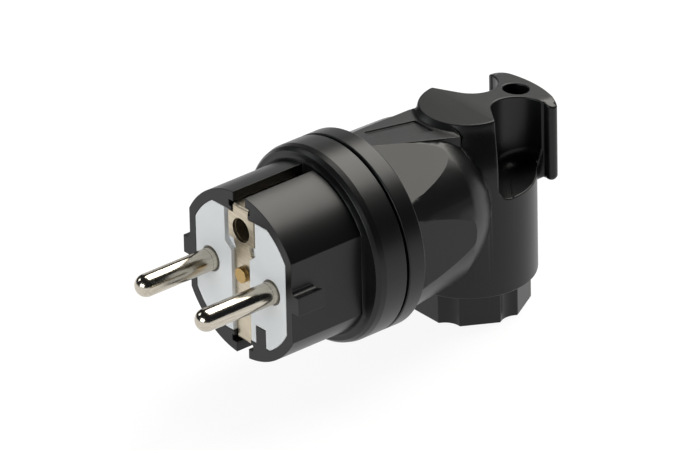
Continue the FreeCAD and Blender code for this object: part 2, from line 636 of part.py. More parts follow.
def upright():
    """Upright barrel, turned about its own Z axis, with a shoulder that runs up to the round pad."""
    rise = PAD_Z - SHOULDER_Z
    shoulder = Part.BSplineCurve()
    shoulder.interpolate(
        [V(UPRIGHT_R, UPRIGHT_Y, SHOULDER_Z),
         V(UPRIGHT_R - 0.26 * PAD_INSET, UPRIGHT_Y, SHOULDER_Z + 0.45 * rise),
         V(UPRIGHT_R - 0.684 * PAD_INSET, UPRIGHT_Y, SHOULDER_Z + 0.72 * rise),
         V(PAD_R, UPRIGHT_Y, PAD_Z)],
        InitialTangent=Z_AXIS * 1.0, FinalTangent=V(-0.12, 0, 1.0))
    steps = shoulder.toShape().discretize(SHOULDER_STEPS + 1)
    body = turned([V(0, UPRIGHT_Y, UPRIGHT_LOW), V(UPRIGHT_R, UPRIGHT_Y, UPRIGHT_LOW), *steps,
                   V(0, UPRIGHT_Y, PAD_Z)], V(0, UPRIGHT_Y, 0), Z_AXIS)
    return body.fuse(rod_z(0, UPRIGHT_Y, THREAD_R, thread_low(), UPRIGHT_LOW + 1))


def tip_centre():
    """Centre of the right tip: it lies one tip radius inside the rear arc."""
    across = GRIP_TIP_X
    inside = GRIP_ARC_R - GRIP_TIP_R
    return V(across, GRIP_BACK_Y - GRIP_ARC_R + math.sqrt(inside ** 2 - across ** 2), 0)


def grip_plan():
    """Half outline of the grip seen from above, from the neck round the right tip to the rear arc."""
    tip = tip_centre()
    arc_centre = V(0, GRIP_BACK_Y - GRIP_ARC_R, 0)
    outward = (tip - arc_centre).normalize()
    side = V(outward.y, -outward.x, 0)
    rear = tip + outward * GRIP_TIP_R
    front = tip - outward * GRIP_TIP_R
    return rear, tip + side * GRIP_TIP_R, front


def grip_block():
    """Crescent-shaped grip and the neck that ties it to the upright barrel, before the scoops are cut."""
    rear, side, front = grip_plan()
    neck = GRIP_BLOCK_HALF_W
    steps = [
        V(-neck, UPRIGHT_Y, 0), V(neck, UPRIGHT_Y, 0), V(neck, front.y - GRIP_NECK_STEP, 0), front, (side, rear),
        (V(0, GRIP_BACK_Y, 0), flipped(rear)), (flipped(side), flipped(front)), V(-neck, front.y - GRIP_NECK_STEP, 0)]
    block = prism(steps, V(0, 0, PAD_Z - GRIP_LOW))
    block.translate(V(0, 0, GRIP_LOW))
    low = [e for e in block.Edges if is_low_grip_edge(e)]
    return block.makeChamfer(GRIP_LOW_CHAMFER, low)


def flipped(point):
    return V(-point.x, point.y, point.z)


def is_low_grip_edge(edge):
    """Lower edges of the grip, apart from the one inside the upright barrel."""
    box_ = edge.BoundBox
    return box_.ZMax < GRIP_LOW + 0.01 and box_.YMax > UPRIGHT_Y + 0.01


def grip_slope_cutter():
    """Everything above the slope that falls to the rear from behind the pad."""
    y0, y1 = PAD_BACK_Y, GRIP_BACK_Y + 2
    fall = GRIP_SLOPE * (y1 - y0)
    w = UPRIGHT_R + 2
    top = PAD_Z + PAD_R
    return prism([V(-w, y0, PAD_Z), V(-w, y1, PAD_Z - fall), V(-w, y1, top), V(-w, y0, top)], V(2 * w, 0, 0))


def grip_crown_cutter():
    """Everything above the right half of the grip's top, where it curves down towards the tip."""
    swing = math.radians(45)
    y0, y1 = PAD_BACK_Y, GRIP_BACK_Y + 2
    x, r, top = GRIP_CROWN_X, GRIP_CROWN_R, PAD_Z
    middle = V(x + r * math.sin(swing / 2), y0, top - r * (1 - math.cos(swing / 2)))
    end = V(x + r * math.sin(swing), y0, top - r * (1 - math.cos(swing)))
    fall = V(0, y1 - y0, -GRIP_SLOPE * (y1 - y0))
    return prism([V(x, y0, top), (middle, end), V(end.x, y0, top + r), V(x, y0, top + r)], fall)


def scoop():
    """Finger scoop on the right: round inside, opening outwards, with a floor that rises to the rear."""
    front, back = math.radians(SCOOP_FRONT_ANGLE), math.radians(SCOOP_BACK_ANGLE)
    r, reach = SCOOP_R, SCOOP_REACH
    cx, cy, top = SCOOP_X, SCOOP_Y, PAD_Z + 2
    a = V(cx + r * math.sin(front), cy - r * math.cos(front), 0)
    b = V(cx - r * math.sin(back), cy + r * math.cos(back), 0)
    a_out = a + V(math.cos(front), math.sin(front), 0) * reach
    b_out = b + V(math.cos(back), math.sin(back), 0) * reach
    plan = prism([a_out, a, (V(cx - r, cy, 0), b), b_out], V(0, 0, top))
    y0 = UPRIGHT_Y - UPRIGHT_R
    swing = math.radians(SCOOP_RISE_ANGLE)
    arc_end = V(-1, SCOOP_RISE_Y + SCOOP_RISE_R * math.sin(swing),
                SCOOP_FLOOR_Z + SCOOP_RISE_R * (1 - math.cos(swing)))
    arc_mid = V(-1, SCOOP_RISE_Y + SCOOP_RISE_R * math.sin(swing / 2),
                SCOOP_FLOOR_Z + SCOOP_RISE_R * (1 - math.cos(swing / 2)))
    side = prism([V(-1, y0, top), V(-1, y0, SCOOP_FLOOR_Z), V(-1, SCOOP_RISE_Y, SCOOP_FLOOR_Z),
                  (arc_mid, arc_end), V(-1, arc_end.y, top)], V(2 * UPRIGHT_R, 0, 0))
    tool = plan.common(side).removeSplitter()
    return tool.makeFillet(SCOOP_COVE, [e for e in tool.Edges if is_scoop_floor_edge(e)])


def is_scoop_floor_edge(edge):
    """Edges between the scoop's floor and its walls, apart from the open outer end."""
    middle = edge.valueAt((edge.FirstParameter + edge.LastParameter) / 2)
    return edge.BoundBox.ZMax < PAD_Z and edge.BoundBox.XMin < SCOOP_X + 1 and middle.x < UPRIGHT_R


def housing_hollow():
    """Wiring space: the barrel's bore, its tapering end and the bore down to the gland."""
    bore_r = SIDE_FLAT_X - HOUSING_WALL + 0.3
    start = COLLAR_SPLIT_Y + GASKET_T
    sleeve = COLLAR_SPLIT_Y + SPIGOT_LENGTH + PLAY
    inner = turned_y([
        (start, 0), (start, SPIGOT_R + PLAY), (sleeve, SPIGOT_R + PLAY), (sleeve, bore_r),
        (bore_end(), bore_r), (DOME_END_Y - HOUSING_WALL, GLAND_BORE_R + 1),
        (DOME_END_Y, GLAND_BORE_R), (DOME_END_Y, 0)])
    down = rod_z(0, UPRIGHT_Y, GLAND_BORE_R, thread_low(), SCOOP_FLOOR_Z - 2 * HOUSING_WALL)
    return inner.fuse(down)


def make_housing():
    body = barrel()
    cuts = [flat_cutter(0, SIDE_FLAT_X), flat_cutter(180, SIDE_FLAT_X), above_bridge(),
            flat_cutter(TOP_FLAT_ANGLE, TOP_FLAT_DISTANCE), flat_cutter(180 - TOP_FLAT_ANGLE, TOP_FLAT_DISTANCE)]
    body = body.cut(cuts).fuse(grip()).removeSplitter()
    return body.cut([bridge_panel(), housing_hollow()])


def grip():
    """Upright barrel and finger grip with both scoops and the hanging hole."""
    crown = grip_crown_cutter()
    block = grip_block().cut([crown, mirrored(crown)])
    body = upright().fuse([bridge(), bridge_root(), block]).cut(grip_slope_cutter()).removeSplitter()
    right = scoop()
    body = body.cut([right, mirrored(right)])
    return body.cut(rod_z(0, HANG_HOLE_Y, HANG_HOLE_R, GRIP_LOW - 1, PAD_Z + 1))


# Cord gland

def cage_top():
    return thread_low() - PLAY + CAGE_LENGTH


def make_clamp_cage():
    """Ring of springy fingers that closes on the grommet."""
    low, high = thread_low() - PLAY, cage_top()
    outer = GLAND_BORE_R - FIT
    ring = rod_z(0, UPRIGHT_Y, outer, low, high).cut(rod_z(0, UPRIGHT_Y, outer - CAGE_WALL, low, high))
    gaps = []
    for k in range(CAGE_FINGERS // 2):
        gap = box(-outer - 1, outer + 1, -CAGE_GAP / 2, CAGE_GAP / 2, low, high - CAGE_RING_H)
        gap.rotate(V(0, 0, 0), Z_AXIS, 360 / CAGE_FINGERS * (k + 0.5))
        gap.translate(V(0, UPRIGHT_Y, 0))
        gaps.append(gap)
    return ring.cut(gaps)


def make_sealing_grommet():
    """Rubber sleeve with a waisted inside, pinched between the cage and the cord."""
    low, high = thread_low() - PLAY, cage_top()
    outer = GLAND_BORE_R - CAGE_WALL - 2 * FIT
    waist = outer - GROMMET_WALL
    mouth = waist + GROMMET_FLARE
    sleeve = turned([V(mouth, 0, low), V(outer, 0, low), V(outer, 0, high), V(mouth, 0, high),
                     V(waist, 0, (low + high) / 2)], V(0, 0, 0), Z_AXIS)
    sleeve.translate(V(0, UPRIGHT_Y, 0))
    return sleeve


def washer_top():
    return NUT_LOW + NUT_END_WALL + WASHER_T


def make_slip_washer():
    low, high = NUT_LOW + NUT_END_WALL, washer_top()
    outer = rod_z(0, UPRIGHT_Y, THREAD_R, low, high)
    return outer.cut(rod_z(0, UPRIGHT_Y, NUT_MOUTH_R, low, high))


def nut_outline():
    """Six flats with a shallow flute at each corner."""
    half = NUT_FLUTE_HALF_ANGLE
    steps = []
    for k in range(NUT_SIDES):
        middle = 360 / NUT_SIDES * k
        before = around(NUT_CORNER_R, middle - half)
        after = around(NUT_CORNER_R, middle + half)
        steps += [before, (around(NUT_FLUTE_MID_R, middle), after)]
    return steps


def around(radius, degrees):
    angle = math.radians(degrees)
    return V(radius * math.cos(angle), UPRIGHT_Y + radius * math.sin(angle), NUT_LOW)


def make_gland_nut():
    body = prism(nut_outline(), V(0, 0, NUT_HEIGHT))
    bore = rod_z(0, UPRIGHT_Y, THREAD_R + PLAY, NUT_LOW + NUT_END_WALL, UPRIGHT_LOW)
    mouth = rod_z(0, UPRIGHT_Y, NUT_MOUTH_R, NUT_LOW, UPRIGHT_LOW)
    return body.cut([bore, mouth])


def parts():
    """Every piece of the plug by name."""
    half = PIN_PITCH / 2
    pieces = {
        "housing": make_housing(),
        "front_body": make_front_body(),
        "contact_carrier": make_contact_carrier(),
        "collar_gasket": make_collar_gasket(),
        "pin_left": make_pin(-1),
        "pin_right": make_pin(1),
        "earth_strip": make_earth_strip(),
        "earth_socket": make_earth_socket(),
        "centre_rivet": make_centre_rivet(),
        "carrier_screw_left": make_hold_screw(-1),
        "carrier_screw_right": make_hold_screw(1),
        "clamp_cage": make_clamp_cage(),
        "sealing_grommet": make_sealing_grommet(),
        "slip_washer": make_slip_washer(),
        "gland_nut": make_gland_nut(),
    }
    pieces.update(terminal_set("left", -half, web_back() + PIN_COLLAR_T, PIN_TAIL_R))
    pieces.update(terminal_set("right", half, web_back() + PIN_COLLAR_T, PIN_TAIL_R))
    pieces.update(terminal_set("earth", 0, web_back(), RIVET_SHANK_R))
    return pieces


def main():
    os.makedirs("parts", exist_ok=True)
    for name, shape in parts().items():
        if len(shape.Solids) != 1 or not shape.isValid():
            raise ValueError(f"{name}: {len(shape.Solids)} solids, valid {shape.isValid()}")
        shape.Solids[0].exportStep(f"parts/{name}.step")
        print(f"{name:22s} volume {shape.Volume:9.1f}  faces {len(shape.Faces):3d}")


main()
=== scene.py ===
# %% [markdown]
# # An angled earthed plug, dressed for its photograph
# The construction is already made: solids in metres, with the pins along -Y, the cord gland
# along -Z and the origin in the middle of the engagement face. This lesson adds what a solid
# doesn't have: rounded edges that catch the light, moulded plastic, polished and rolled
# nickel, brass, rubber, a white floor, soft studio light and the camera. The box of the bare
# solids is measured first, because the dressed plug has to stay inside it.

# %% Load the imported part
import json
import math
import bmesh
import bpy
from mathutils import Matrix, Vector


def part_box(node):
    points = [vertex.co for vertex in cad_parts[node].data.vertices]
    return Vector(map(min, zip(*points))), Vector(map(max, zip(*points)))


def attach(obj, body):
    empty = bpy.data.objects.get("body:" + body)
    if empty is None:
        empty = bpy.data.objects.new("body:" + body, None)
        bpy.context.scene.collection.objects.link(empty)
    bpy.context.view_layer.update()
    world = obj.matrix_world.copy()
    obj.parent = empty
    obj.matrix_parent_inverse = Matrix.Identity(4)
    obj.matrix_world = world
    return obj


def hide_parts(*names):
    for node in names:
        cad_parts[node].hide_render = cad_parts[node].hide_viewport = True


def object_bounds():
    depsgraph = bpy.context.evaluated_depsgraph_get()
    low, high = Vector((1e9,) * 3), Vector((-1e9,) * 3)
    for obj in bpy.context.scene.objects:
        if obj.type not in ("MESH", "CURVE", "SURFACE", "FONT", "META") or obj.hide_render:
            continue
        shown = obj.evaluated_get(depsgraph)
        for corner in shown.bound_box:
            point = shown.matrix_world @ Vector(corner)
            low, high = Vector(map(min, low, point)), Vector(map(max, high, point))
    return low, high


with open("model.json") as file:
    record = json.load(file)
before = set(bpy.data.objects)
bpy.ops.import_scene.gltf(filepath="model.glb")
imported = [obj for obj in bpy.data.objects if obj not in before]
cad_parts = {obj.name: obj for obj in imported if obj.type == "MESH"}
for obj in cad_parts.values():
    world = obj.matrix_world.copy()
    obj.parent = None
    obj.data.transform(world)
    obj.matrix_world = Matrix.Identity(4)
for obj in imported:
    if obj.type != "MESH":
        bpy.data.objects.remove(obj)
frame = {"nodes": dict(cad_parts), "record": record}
cad_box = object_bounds()
nodes = frame["nodes"]
MM = 0.001
print("nodes loaded:", len(nodes))

# %% [markdown]
# ## Sums on shader sockets
# A finish is a graph of shader nodes. Written node by node, it hides its own idea: "a little
# rougher where the cloud is" turns into two Math nodes and three links. So one class wraps an
# output socket and turns Python's operators into Math nodes, also with a plain number on the
# left, and the idea can be read as a sum.

# %% Sockets that add up like numbers
class Signal:
    """One output of a shader node. Its operators add Math nodes to the same finish."""

    def __init__(self, finish, socket):
        self.finish = finish
        self.socket = socket

    def _math(self, operation, *values):
        settings, inputs = {"operation": operation}, dict(enumerate(values))
        return self.finish.node("ShaderNodeMath", settings, inputs)

    def __add__(self, other):
        return self._math("ADD", self, other)

    __radd__ = __add__

    def __sub__(self, other):
        return self._math("SUBTRACT", self, other)

    def __rsub__(self, other):
        return self._math("SUBTRACT", other, self)

    def __mul__(self, other):
        return self._math("MULTIPLY", self, other)

    __rmul__ = __mul__

    def clamped(self):
        """The same value, held between 0 and 1."""
        return self._math("MINIMUM", self._math("MAXIMUM", self, 0.0), 1.0)


print("operators on sockets: + - *")

# %% [markdown]
# ## One class for every finish
# All finishes of the plug stand on the same shader, Principled, and differ in what feeds it.
# A second class owns a material. One method makes any node from a type, its settings and its
# inputs. Noise, a blend of two colours and a bump are the three things that moulded plastic
# and plated metal need here. A number that is the same all over a surface is set on the shader
# itself, because it needs no node and the export keeps it. Patterns read Object coordinates,
# so they have a size in millimetres and stay on the piece when it moves.

# %% A procedural material
class Finish:
    """One procedural material on the Principled shader."""

    def __init__(self, name, **constants):
        self.material = bpy.data.materials.new(name)
        self.material.use_nodes = True
        self.tree = self.material.node_tree
        self.tree.nodes.clear()
        self.shader = self.tree.nodes.new("ShaderNodeBsdfPrincipled")
        self.output = self.tree.nodes.new("ShaderNodeOutputMaterial")
        self.tree.links.new(self.shader.outputs[0], self.output.inputs["Surface"])
        for socket, value in constants.items():
            self.set(socket.replace("_", " "), value)

    def node(self, kind, settings=None, inputs=None, output=0):
        """Make a node: settings come first, then the values or links of its inputs."""
        made = self.tree.nodes.new(kind)
        for key, value in (settings or {}).items():
            setattr(made, key, value)
        for key, value in (inputs or {}).items():
            self._feed(made.inputs[key], value)
        return Signal(self, made.outputs[output])

    def set(self, socket, value):
        """Give one input of the Principled shader a constant or a signal."""
        self._feed(self.shader.inputs[socket], value)

    def _feed(self, socket, value):
        if isinstance(value, Signal):
            self.tree.links.new(value.socket, socket)
        elif isinstance(value, tuple) and socket.type == "RGBA":
            socket.default_value = (*value, 1.0)
        else:
            socket.default_value = value

    def noise(self, grain_mm, detail=2.0, stretch=(1.0, 1.0, 1.0), turn=(0.0, 0.0, 0.0)):
        """Soft noise with grains of about the given size. A stretch above 1 draws them out."""
        place = self.node("ShaderNodeTexCoord", output="Object")
        where = self.node("ShaderNodeMapping", {"vector_type": "TEXTURE"}, {
            "Vector": place, "Rotation": turn, "Scale": stretch})
        return self.node("ShaderNodeTexNoise", inputs={
            "Vector": where, "Scale": 1.0 / (grain_mm * MM), "Detail": detail})

    def blend(self, share, first, second):
        """Mix two colours: a share of 0 is the first, a share of 1 is the second."""
        colours = {0: share, 6: first, 7: second}
        return self.node("ShaderNodeMix", {"data_type": "RGBA"}, colours, output=2)

    def bump(self, height, depth_mm, strength):
        """Turn a height between 0 and 1 into relief of the given depth."""
        relief = self.node("ShaderNodeBump", inputs={
            "Height": height, "Distance": depth_mm * MM, "Strength": strength})
        self.set("Normal", relief)


print("finish class ready, with noise, blend and bump")

# %% [markdown]
# ## A shelf for the finishes
# The part's record knows its finishes by the names of material slots, such as body_plastic.
# Each finish below is put under the name of its slot as soon as it is made, so that a solid
# can be dressed by its slot alone. The number of its nodes shows how much work it is to draw.

# %% Keep finishes by slot
FINISHES = {}


def keep(slot, finish):
    """Store a finish under the material slot that it is made for."""
    FINISHES[slot] = finish.material
    print(f"{slot}: {finish.material.name}, {len(finish.tree.nodes)} nodes")


# %% [markdown]
# ## The black moulded plastic
# Body, housing and gland nut are one satin black thermoplastic. A grey base colour would look
# chalky, so the base is nearly black: what is seen on it is the soft reflection of the studio.
# The mould leaves a fine eroded texture, which spreads that reflection. The roughness also
# drifts a little over the surface, so broad highlights break up gently, as they do on a real
# moulding.

# %% Black moulded plastic
def moulded_black():
    finish = Finish("moulded_black", IOR=1.4)
    drift = finish.noise(9.0, detail=3.0)
    grain = finish.noise(0.16)
    dark, pale = (0.0034, 0.0036, 0.0042), (0.005, 0.0051, 0.0056)
    finish.set("Roughness", 0.3 + 0.06 * drift + 0.04 * grain)
    finish.set("Base Color", finish.blend(drift, dark, pale))
    finish.bump(grain, depth_mm=0.004, strength=0.5)
    return finish


keep("body_plastic", moulded_black())

# %% [markdown]
# ## The pale insert
# The contact carrier is a light grey, heat-resistant moulding with a blue cast. Unlike the
# black body it scatters the light, so its colour carries the look and only a weak sheen lies
# on top. A faint cloud in the colour and a fine grain keep the flat face from looking printed.

# %% Pale insert plastic
def pale_insert():
    finish = Finish("pale_insert", IOR=1.46)
    cloud = finish.noise(3.5, detail=3.0)
    grain = finish.noise(0.12)
    finish.set("Base Color", finish.blend(cloud, (0.78, 0.805, 0.825), (0.82, 0.84, 0.855)))
    finish.set("Roughness", 0.42 + 0.1 * grain)
    finish.bump(grain, depth_mm=0.005, strength=0.4)
    return finish


keep("carrier_plastic", pale_insert())

# %% [markdown]
# ## Nickel on the pins and in the earth socket
# The pins are turned, polished and plated: nearly a mirror, with fine lines drawn along the
# shank by use and the faintest rings left by the lathe. Stretched noise makes both, thin
# across the marks and long along them. The lines tint the metal and the rings raise it a
# little, so the reflections of the studio stay clear but their edges turn soft.

# %% Polished nickel
def polished_nickel():
    finish = Finish("polished_nickel", Metallic=1.0)
    rings = finish.noise(0.09, stretch=(60.0, 1.0, 60.0))
    lines = finish.noise(0.2, stretch=(1.0, 16.0, 1.0))
    wear = finish.noise(1.6, detail=3.0)
    share = (2.0 * lines + 0.5 * wear - 0.75).clamped()
    finish.set("Base Color", finish.blend(share, (0.45, 0.41, 0.34), (0.63, 0.585, 0.505)))
    finish.set("Roughness", 0.12 + 0.05 * rings + 0.06 * wear)
    finish.bump(rings, depth_mm=0.0012, strength=0.5)
    return finish


keep("contact_nickel", polished_nickel())

# %% [markdown]
# ## Nickel on the earth strip
# The earth strip is cut from rolled sheet, so it is duller and warmer than the pins, and its
# brushed lines run one way, across the strip and a little downwards. The Mapping node first
# turns the pattern by that small angle and then stretches it.

# %% Rolled nickel
BRUSHED_TURN = math.radians(9)


def rolled_nickel():
    finish = Finish("rolled_nickel", Metallic=1.0)
    lines = finish.noise(0.2, stretch=(30.0, 1.0, 1.0), turn=(0.0, BRUSHED_TURN, 0.0))
    stain = finish.noise(1.8, detail=3.0)
    share = (2.4 * lines + 0.5 * stain - 0.95).clamped()
    finish.set("Base Color", finish.blend(share, (0.43, 0.37, 0.28), (0.69, 0.62, 0.49)))
    finish.set("Roughness", 0.24 + 0.12 * lines + 0.08 * stain)
    finish.bump(lines, depth_mm=0.006, strength=0.6)
    return finish


keep("strip_nickel", rolled_nickel())

# %% [markdown]
# ## Brass on the rivet and on the terminals
# Both are bare brass that has weathered in soft patches, which change the colour and the shine
# together. The rivet lies open to the air and is browner than the terminal blocks, so one
# recipe takes the two colours that it blends.

# %% Brass
def plain_brass(name, dull, clean):
    finish = Finish(name, Metallic=1.0)
    patches = finish.noise(0.9, detail=3.0)
    finish.set("Base Color", finish.blend(patches, dull, clean))
    finish.set("Roughness", 0.18 + 0.14 * patches)
    finish.bump(patches, depth_mm=0.003, strength=0.4)
    return finish


keep("rivet_brass", plain_brass("rivet_brass", (0.4, 0.265, 0.1), (0.46, 0.315, 0.13)))
keep("terminal_brass", plain_brass("terminal_brass", (0.68, 0.47, 0.17), (0.86, 0.66, 0.32)))

# %% [markdown]
# ## Zinc on the screws
# The screws are zinc plated steel. The plating is a cool grey with a bloom like fine frost,
# which changes both its colour and its shine.

# %% Zinc plate
def zinc_plate():
    finish = Finish("zinc_plate", Metallic=1.0)
    bloom = finish.noise(0.6, detail=3.0)
    finish.set("Base Color", finish.blend(bloom, (0.52, 0.53, 0.56), (0.66, 0.67, 0.7)))
    finish.set("Roughness", 0.28 + 0.12 * bloom)
    return finish


keep("screw_steel", zinc_plate())

# %% [markdown]
# ## Rubber and nylon in the gland
# The seals are dull rubber with a powdery bloom, and the clamp cage is dark nylon with faint
# marks where the melt flowed along its fingers. They show only through the gland or when the
# plug is opened, so one noise each is enough.

# %% Rubber and nylon
def dull_rubber():
    finish = Finish("dull_rubber", IOR=1.5)
    bloom = finish.noise(1.2, detail=4.0)
    finish.set("Base Color", finish.blend(bloom, (0.008, 0.008, 0.008), (0.016, 0.016, 0.016)))
    finish.set("Roughness", 0.68 + 0.14 * bloom)
    finish.bump(bloom, depth_mm=0.01, strength=0.4)
    return finish


def dark_nylon():
    finish = Finish("dark_nylon", IOR=1.5)
    flow = finish.noise(1.0, detail=3.0, stretch=(1.0, 1.0, 3.0))
    finish.set("Base Color", finish.blend(flow, (0.02, 0.02, 0.021), (0.035, 0.035, 0.037)))
    finish.set("Roughness", 0.45 + 0.12 * flow)
    return finish


keep("seal_rubber", dull_rubber())
keep("cage_plastic", dark_nylon())

# %% [markdown]
# ## Every solid gets its finish
# The record of the part names a material slot for each node. The solids that are carried over
# as they are need no more than the finish of their slot, and the copies made below take it
# along.

# %% Dress the solids
slot_of = {part["node"]: part["material_slot"] for part in frame["record"]["subparts"]}
for name, solid in nodes.items():
    solid.data.materials.clear()
    solid.data.materials.append(FINISHES[slot_of[name]])
print("dressed:", len(slot_of))

# %% [markdown]
# ## Which edges are round, and which are crisp
# A moulding has no sharp edge: each one is rounded by a few tenths of a millimetre and shows
# a thin line of light. Rounding by hand would take a list of edges, so a rule judges them. A
# steep outer edge is rounded. An inner edge is rounded only when it is steeper still, because
# a gentle one stands for a cove and is shaded smoothly. The walls of the low bridge between
# barrel and pad have no room for the full rounding, so they get a share of it. A broad flat
# face ends in a crisp line even where it leaves the curve next to it at a shallow angle, and
# the narrow strips of a curve are shaded smoothly.

# %% Judge the edges
STEEP = math.radians(24)
STEEP_COVE = math.radians(80)
SHALLOW = math.radians(1.0)
BROAD = 1.5 * MM
LOW_WALL_SHARE = 0.35
BRIDGE_START_Y, BRIDGE_END_Y, BRIDGE_LOW_Z = 31.2, 54.0, 12.0
PAD_START_Y, PAD_LOW_Z = 47.0, 17.3


def is_rounded(edge):
    """Whether the real moulding has a rounded edge or inner corner here."""
    return edge.calc_face_angle(0.0) > (STEEP if edge.is_convex else STEEP_COVE)


def rounding_share(edge):
    """The part of the full rounding that an edge gets: the walls of the bridge are low."""
    middle = (edge.verts[0].co + edge.verts[1].co) / 2.0 / MM
    along_bridge = BRIDGE_START_Y < middle.y < BRIDGE_END_Y and middle.z > BRIDGE_LOW_Z
    under_pad = middle.y < PAD_START_Y or middle.z < PAD_LOW_Z
    return LOW_WALL_SHARE if along_bridge and under_pad else 1.0


def breadth(face):
    """About the width of a long strip, and half the side of a square."""
    return 2.0 * face.calc_area() / face.calc_perimeter()


def is_line(edge, crisp):
    """Whether a broad flat, or a turn above the crisp angle, ends here in a fine line."""
    turn = edge.calc_face_angle(0.0)
    ends_a_flat = max(breadth(face) for face in edge.link_faces) > BROAD
    return turn < STEEP and (turn > crisp or (ends_a_flat and turn > SHALLOW))


print(f"rounded above {math.degrees(STEEP):.0f} degrees, in coves above "
      f"{math.degrees(STEEP_COVE):.0f}; a flat is wider than {BROAD / MM} mm")

# %% [markdown]
# ## Copies with marked edges
# The solids themselves stay as they are. Their meshes are loose triangles, and a modifier
# can't find an edge between triangles that aren't joined. So each moulded or stamped solid
# that shows has its mesh copied. The points of the copy are merged, and flat areas are
# dissolved into single faces. The rule then writes the rounding into the edges as a bevel
# weight, and the crisp lines as sharp edges.

# %% Merge a copy and mark its edges
SAME_POINT = 0.002 * MM
STILL_FLAT = math.radians(0.4)


def cleaned(name, crisp=STEEP):
    """A merged copy of one solid's mesh, with its edges marked for the modifiers."""
    mesh = nodes[name].data.copy()
    mesh.name = name + "_rounded"
    form = bmesh.new()
    form.from_mesh(mesh)
    bmesh.ops.remove_doubles(form, verts=form.verts[:], dist=SAME_POINT)
    bmesh.ops.dissolve_limit(form, angle_limit=STILL_FLAT, use_dissolve_boundaries=False,
                             verts=form.verts[:], edges=form.edges[:])
    weight = form.edges.layers.float.new("bevel_weight_edge")
    for edge in form.edges:
        edge[weight] = rounding_share(edge) if is_rounded(edge) else 0.0
        edge.smooth = not is_line(edge, crisp)
    for face in form.faces:
        face.smooth = True
    form.to_mesh(mesh)
    form.free()
    print(f"{name}: {len(mesh.polygons)} faces before rounding")
    return mesh


# %% [markdown]
# ## Rounded pieces
# The Bevel modifier rounds the marked edges, and a Weighted Normal modifier keeps the flat
# faces flat, so that only the roundings bend the light. It leaves the crisp lines crisp. The
# widths follow the real pieces: the thick housing is the roundest, the stamped strip and its
# rivet hardly at all.

# %% Round the copies
ROUNDED_MM = {
    "housing": 0.35, "gland_nut": 0.25, "contact_carrier": 0.12, "earth_strip": 0.08,
    "centre_rivet": 0.08,
}
ROUNDING_STEPS = 3


def placed(piece_name, mesh, node_name):
    """A new piece that stands for one solid, in the solid's place and finish."""
    piece = bpy.data.objects.new(piece_name, mesh)
    bpy.context.scene.collection.objects.link(piece)
    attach(piece, "root")
    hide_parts(node_name)
    return piece


def rounded_copy(name, mesh, width_mm):
    """A piece with rounded edges, which stands for one solid."""
    piece = placed(name + "_rounded", mesh, name)
    bevel = piece.modifiers.new("edges", "BEVEL")
    bevel.width = width_mm * MM
    bevel.segments = ROUNDING_STEPS
    bevel.limit_method = "WEIGHT"
    bevel.miter_outer = "MITER_ARC"
    bevel.use_clamp_overlap = False
    flats = piece.modifiers.new("flats", "WEIGHTED_NORMAL")
    flats.keep_sharp = True
    print(f"{piece.name}: rounded by {width_mm} mm")


for name, width_mm in ROUNDED_MM.items():
    rounded_copy(name, cleaned(name), width_mm)

# %% [markdown]
# ## The front body and its tight collar root
# The front body needs two things more. The turns round its collar are crisp lines, although
# they are not steep. And the root of the collar is a plain chamfer in the solid, while the
# moulding has a tight corner there. The chamfer's front ring of points is moved back along
# the body, and the ends of the earth channels, which lie in the same plane, move with it.

# %% Tighten the collar root
CHAMFER_START_Y, TIGHT_START_Y, IN_PLANE_MM = 17.3, 18.05, 0.02
COLLAR_TURN = math.radians(10)
FRONT_ROUNDED_MM = 0.12


def tightened(mesh):
    """Move the front ring of the collar's root back, so that a tight corner is left."""
    moved = 0
    for point in mesh.vertices:
        if abs(point.co.y / MM - CHAMFER_START_Y) < IN_PLANE_MM:
            point.co.y = TIGHT_START_Y * MM
            moved += 1
    print("points moved at the collar's root:", moved)
    return mesh


front_mesh = tightened(cleaned("front_body", crisp=COLLAR_TURN))
rounded_copy("front_body", front_mesh, FRONT_ROUNDED_MM)

# %% [markdown]
# ## Turned pins
# Each pin is turned from one bar: a ball end, a smooth shank with a fine line near its root,
# and behind the face a thicker seat, a collar and a tail for the terminal. Its outline is a
# chain of points from the axis and back to it, each with its place along the pin and its
# radius. A vertex bevel rounds the one corner at the tip into a ball, and a full spin about
# the pin's axis turns the chain into a closed solid, as the lathe does.

# %% Draw the outline of a pin
PIN_R, LINE_R, SEAT_R, COLLAR_R, TAIL_R = 2.4, 2.36, 2.62, 3.1, 1.9
TIP_Y, LINE_START_Y, LINE_END_Y = -19.0, -1.3, -1.15
SEAT_Y, COLLAR_Y, TAIL_Y, TAIL_END_Y = 1.0, 6.0, 7.0, 11.0
PIN_OUTLINE = (
    (TIP_Y, 0.0), (TIP_Y, PIN_R), (LINE_START_Y, PIN_R), (LINE_START_Y, LINE_R),
    (LINE_END_Y, LINE_R), (LINE_END_Y, PIN_R), (SEAT_Y, PIN_R), (SEAT_Y, SEAT_R),
    (COLLAR_Y, SEAT_R), (COLLAR_Y, COLLAR_R), (TAIL_Y, COLLAR_R), (TAIL_Y, TAIL_R),
    (TAIL_END_Y, TAIL_R), (TAIL_END_Y, 0.0),
)
print("points in a pin's outline:", len(PIN_OUTLINE))

# %% [markdown]
# ## Spin the outline
# The ball takes nearly the whole radius of the pin: a bevel of all of it would fold the first
# edge of the chain to nothing. After the spin the points on the axis lie on each other, so
# they are merged, and then the faces are turned outwards. Only the steps of the seat, collar
# and line stay sharp.

# %% Spin the pins
BALL_SHARE, BALL_STEPS, TURNED_STEPS = 0.98, 12, 72
AXIS_POINT = 0.001 * MM


